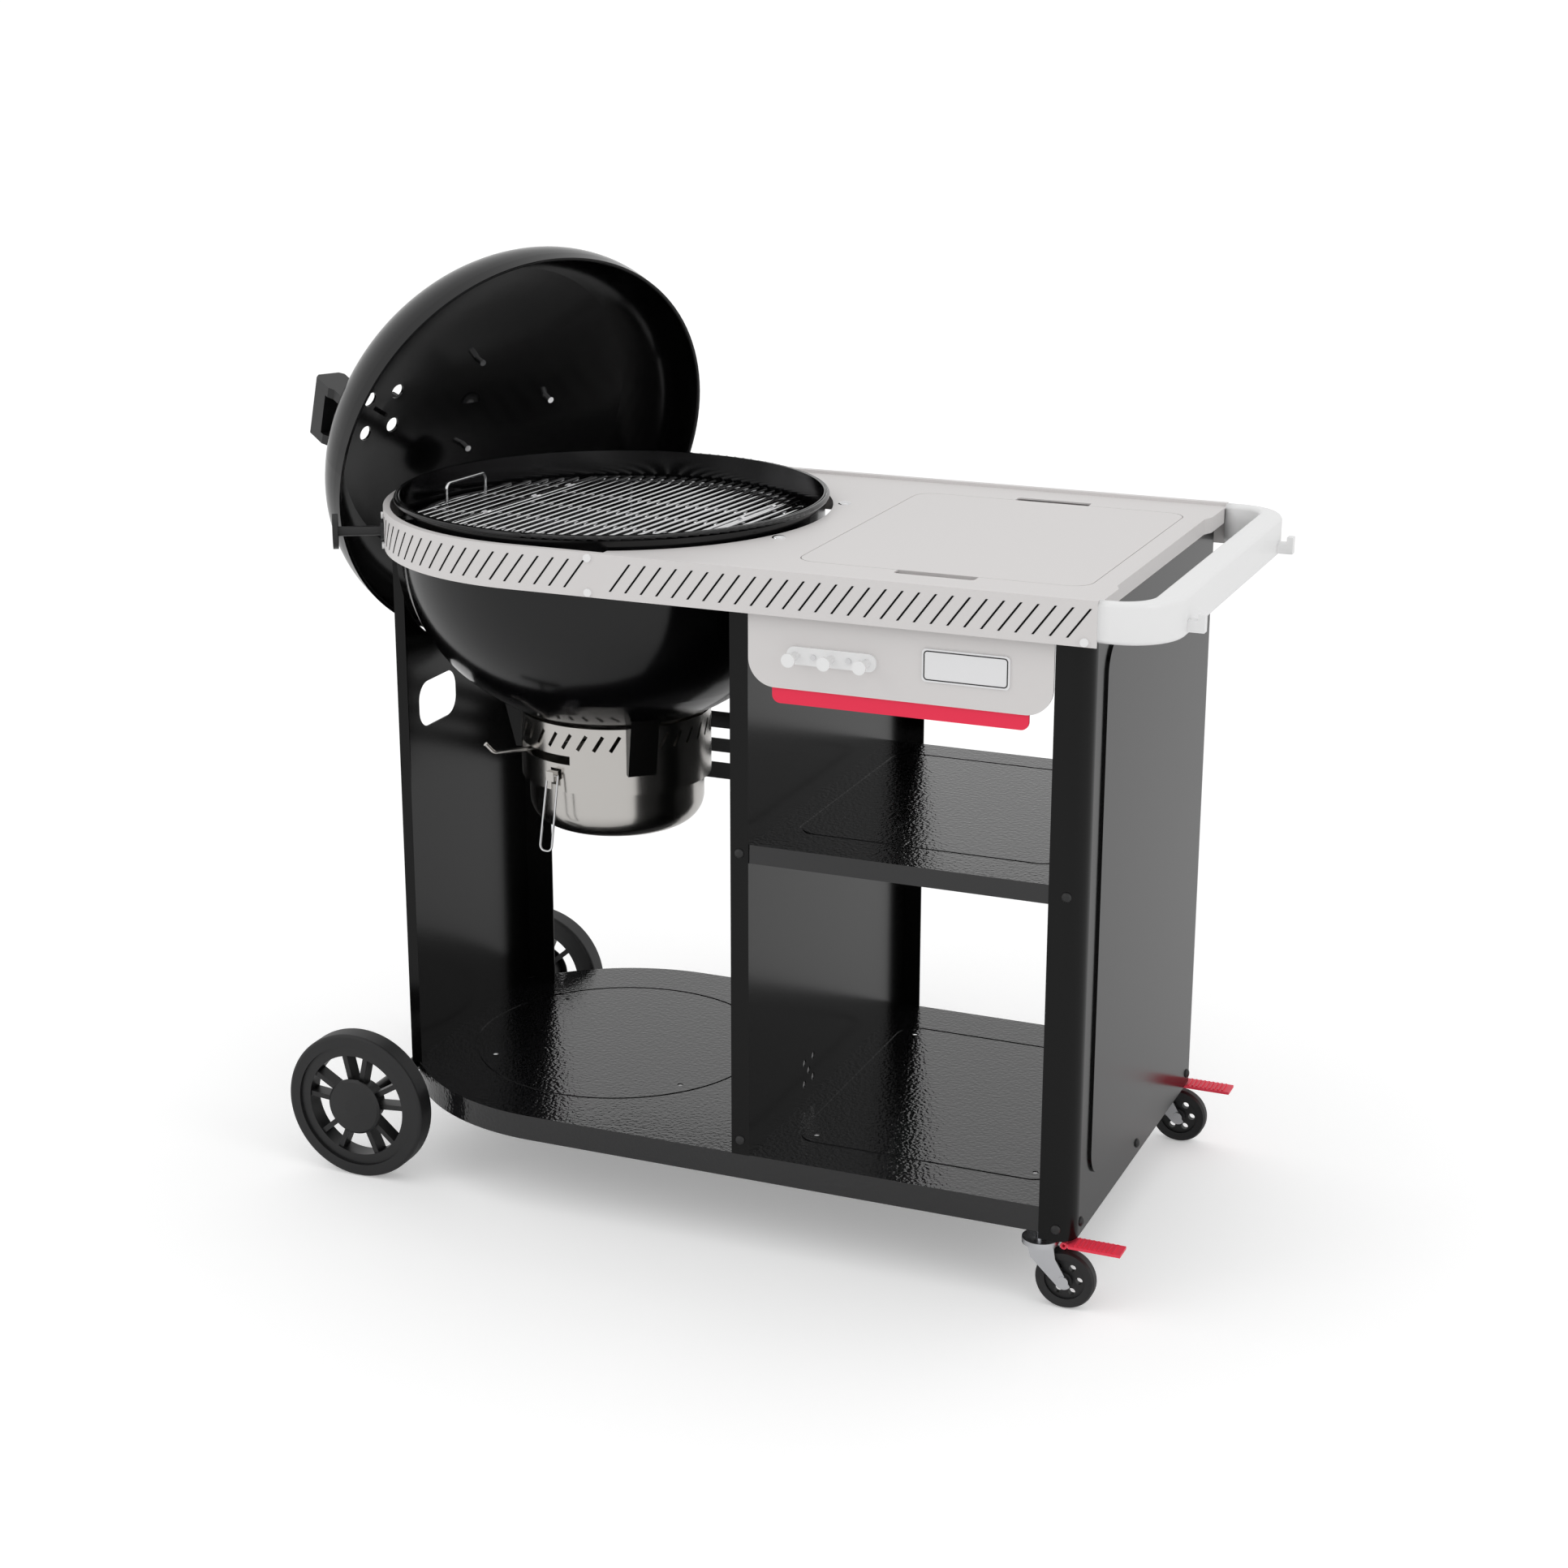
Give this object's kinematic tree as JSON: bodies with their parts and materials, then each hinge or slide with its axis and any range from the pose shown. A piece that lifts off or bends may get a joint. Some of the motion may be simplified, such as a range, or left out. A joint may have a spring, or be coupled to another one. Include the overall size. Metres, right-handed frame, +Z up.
{
  "type": "kettle charcoal grill",
  "caption": "Black kettle charcoal grill built into a wheeled cart with a light grey work table, shelves and its lid parked at the side.",
  "frame": {"origin": "centre of the footprint, on the ground", "axes": "+X runs along the cart from the kettle towards the push handle, +Y points to the back, +Z is up"},
  "size_m": [1.3215, 0.7129, 1.2118],
  "materials": {
    "black_enamel": "gloss",
    "black_powder_coat": "satin",
    "light_grey_coat": "satin",
    "white_nylon": "gloss",
    "red_coat": "satin",
    "red_plastic": "matte",
    "stainless": "brushed",
    "bright_chrome": "polished",
    "zinc_steel": "satin",
    "black_nylon": "matte",
    "tread_plastic": "matte",
    "badge_blank": "satin"
  },
  "bodies": {
    "cart": {"accent_panel": "red_coat", "ash_collar": "stainless", "ash_shields": "black_powder_coat", "axle_sleeve": "black_powder_coat", "axle_struts": "black_powder_coat", "badge_plate": "badge_blank", "base_shelf": "black_powder_coat", "bowl_lugs": "black_powder_coat", "caster_sockets": "black_powder_coat", "caster_stems": "zinc_steel", "control_apron": "light_grey_coat", "curved_rail": "light_grey_coat", "divider_panel": "black_powder_coat", "frame_bolts": "black_nylon", "grate_supports": "zinc_steel", "handle_bar": "white_nylon", "handle_hooks": "white_nylon", "hook_strip": "white_nylon", "kettle_bowl": "black_enamel", "left_side_panel": "black_powder_coat", "lid_cradle": "black_powder_coat", "lid_pegs": "black_nylon", "middle_shelf": "black_powder_coat", "rail_screws": "bright_chrome", "rear_brace": "black_powder_coat", "right_side_panel": "black_powder_coat", "strip_screws": "bright_chrome", "table_screws": "bright_chrome", "tool_hooks": "white_nylon", "wheel_axle": "zinc_steel", "work_table": "light_grey_coat"},
    "lid": {"lid_shell": "black_enamel", "lid_handle": "black_nylon", "lid_side_grip": "black_nylon", "lid_bolts": "bright_chrome", "lid_thermometer": "black_nylon"},
    "damper": {"lid_damper": "black_powder_coat"},
    "grate": {"cooking_grate": "bright_chrome"},
    "flap_left": {"grate_flap_left": "bright_chrome"},
    "flap_right": {"grate_flap_right": "bright_chrome"},
    "coal_grate": {"charcoal_grate": "zinc_steel"},
    "table_panel": {"drop_in_panel": "light_grey_coat"},
    "sweeper": {"ash_sweeper": "stainless"},
    "bucket": {"ash_bucket": "stainless", "bail_clip": "stainless"},
    "bail": {"bucket_bail": "bright_chrome"},
    "wheel_front": {"wheel_tyre_front": "tread_plastic", "wheel_hub_front": "black_nylon", "wheel_cap_front": "black_nylon"},
    "wheel_rear": {"wheel_tyre_rear": "tread_plastic", "wheel_hub_rear": "black_nylon", "wheel_cap_rear": "black_nylon"},
    "swivel_front": {"caster_fork_front": "zinc_steel"},
    "swivel_rear": {"caster_fork_rear": "zinc_steel"},
    "roller_front": {"caster_wheel_front": "tread_plastic"},
    "roller_rear": {"caster_wheel_rear": "tread_plastic"},
    "pedal_front": {"caster_pedal_front": "red_plastic"},
    "pedal_rear": {"caster_pedal_rear": "red_plastic"}
  },
  "joints": [
    {"name": "lid_lift_off", "type": "slide", "parent": "cart", "child": "lid", "axis": [0, 0, 1], "range_m": [0, 0.1]},
    {"name": "lid_damper_turn", "type": "hinge", "parent": "lid", "child": "damper", "pos_m": [-0.57366, 0.00768, 0.98433], "axis": [-0.918, 0.2213, 0.3292], "range_deg": [0, 90]},
    {"name": "grate_lift_out", "type": "slide", "parent": "cart", "child": "grate", "axis": [0, 0, 1], "range_m": [0, 0.12]},
    {"name": "grate_flap_left_hinge", "type": "hinge", "parent": "grate", "child": "flap_left", "pos_m": [-0.35632, -0.02577, 0.878], "axis": [0.1045, 0.9945, 0], "range_deg": [0, 90]},
    {"name": "grate_flap_right_hinge", "type": "hinge", "parent": "grate", "child": "flap_right", "pos_m": [-0.03808, -0.05922, 0.878], "axis": [-0.1045, -0.9945, 0], "range_deg": [0, 90]},
    {"name": "coal_grate_lift", "type": "slide", "parent": "cart", "child": "coal_grate", "axis": [0, 0, 1], "range_m": [0, 0.05]},
    {"name": "table_panel_lift_out", "type": "slide", "parent": "cart", "child": "table_panel", "axis": [0, 0, 1], "range_m": [0, 0.1]},
    {"name": "ash_sweeper_turn", "type": "hinge", "parent": "cart", "child": "sweeper", "pos_m": [-0.1972, -0.0425, 0.6], "axis": [0, 0, 1], "range_deg": [-25, 30]},
    {"name": "ash_bucket_drop", "type": "slide", "parent": "cart", "child": "bucket", "axis": [0, 0, -1], "range_m": [0, 0.08]},
    {"name": "bucket_bail_swing", "type": "hinge", "parent": "bucket", "child": "bail", "pos_m": [-0.22757, -0.17404, 0.555], "axis": [-0.9744, 0.225, 0], "range_deg": [0, 60]},
    {"name": "front_wheel_spin", "type": "hinge", "parent": "cart", "child": "wheel_front", "pos_m": [-0.4622, -0.3065, 0.102], "axis": [0, 1, 0], "continuous": true},
    {"name": "rear_wheel_spin", "type": "hinge", "parent": "cart", "child": "wheel_rear", "pos_m": [-0.4622, 0.2215, 0.102], "axis": [0, 1, 0], "continuous": true},
    {"name": "front_caster_swivel", "type": "hinge", "parent": "cart", "child": "swivel_front", "pos_m": [0.5018, -0.3105, 0.088], "axis": [0, 0, 1], "continuous": true},
    {"name": "front_caster_spin", "type": "hinge", "parent": "swivel_front", "child": "roller_front", "pos_m": [0.5348, -0.3105, 0.038], "axis": [0, 1, 0], "continuous": true},
    {"name": "front_brake_pedal", "type": "hinge", "parent": "swivel_front", "child": "pedal_front", "pos_m": [0.5328, -0.3105, 0.084], "axis": [0, 1, 0], "range_deg": [0, 12]},
    {"name": "rear_caster_swivel", "type": "hinge", "parent": "cart", "child": "swivel_rear", "pos_m": [0.5018, 0.2255, 0.088], "axis": [0, 0, 1], "continuous": true},
    {"name": "rear_caster_spin", "type": "hinge", "parent": "swivel_rear", "child": "roller_rear", "pos_m": [0.5348, 0.2255, 0.038], "axis": [0, 1, 0], "continuous": true},
    {"name": "rear_brake_pedal", "type": "hinge", "parent": "swivel_rear", "child": "pedal_rear", "pos_m": [0.5328, 0.2255, 0.084], "axis": [0, 1, 0], "range_deg": [0, 12]}
  ]
}
